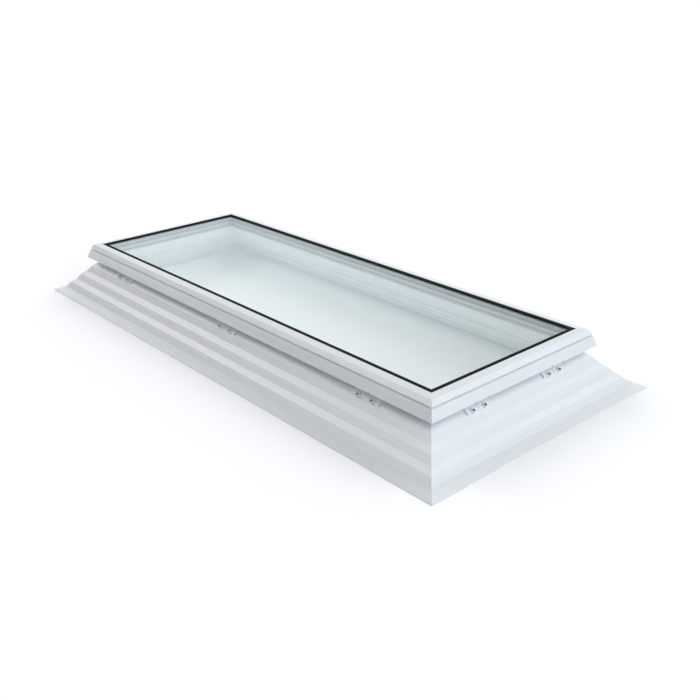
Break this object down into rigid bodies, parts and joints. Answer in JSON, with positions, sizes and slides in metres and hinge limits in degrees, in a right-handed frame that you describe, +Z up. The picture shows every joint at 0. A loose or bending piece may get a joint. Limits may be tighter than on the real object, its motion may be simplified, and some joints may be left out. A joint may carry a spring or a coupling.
{
  "type": "fixed roof skylight",
  "caption": "Fixed flat-glass roof skylight: a sealed glass unit in a white plastic frame with a drip skirt, on a sloping hollow kerb with a flat foot flange.",
  "frame": {"origin": "centre of the kerb's footprint, at the underside of its foot flange", "axes": "+X along the long side, +Y along the short side, +Z up out of the roof"},
  "size_m": [2.136, 0.936, 0.194],
  "materials": {
    "kerb_pvc": "satin white PVC",
    "frame_pvc": "satin white PVC",
    "bezel_pvc": "smooth white PVC",
    "clip_plastic": "moulded white plastic",
    "screw_steel": "black phosphated",
    "gasket_rubber": "black EPDM",
    "seal_rubber": "black EPDM",
    "seal_light": "light grey thermoplastic rubber",
    "glass": "clear float glass with a faint green tint",
    "spacer_aluminium": "mill",
    "sealant": "black edge sealant",
    "packer_plastic": "moulded"
  },
  "bodies": {
    "root": {"kerb_right": "kerb_pvc", "kerb_back": "kerb_pvc", "kerb_left": "kerb_pvc", "kerb_front": "kerb_pvc", "kerb_seal": "seal_rubber", "frame_right": "frame_pvc", "frame_back": "frame_pvc", "frame_left": "frame_pvc", "frame_front": "frame_pvc", "bezel_right": "bezel_pvc", "bezel_back": "bezel_pvc", "bezel_left": "bezel_pvc", "bezel_front": "bezel_pvc", "outer_pane": "glass", "inner_pane": "glass", "spacer_frame": "spacer_aluminium", "edge_sealant": "sealant", "inner_gasket": "seal_light", "outer_gasket": "gasket_rubber", "packers": "packer_plastic", "clips_right": "clip_plastic", "clips_back": "clip_plastic", "clips_left": "clip_plastic", "clips_front": "clip_plastic", "screws_right": "screw_steel", "screws_back": "screw_steel", "screws_left": "screw_steel", "screws_front": "screw_steel"}
  },
  "joints": []
}
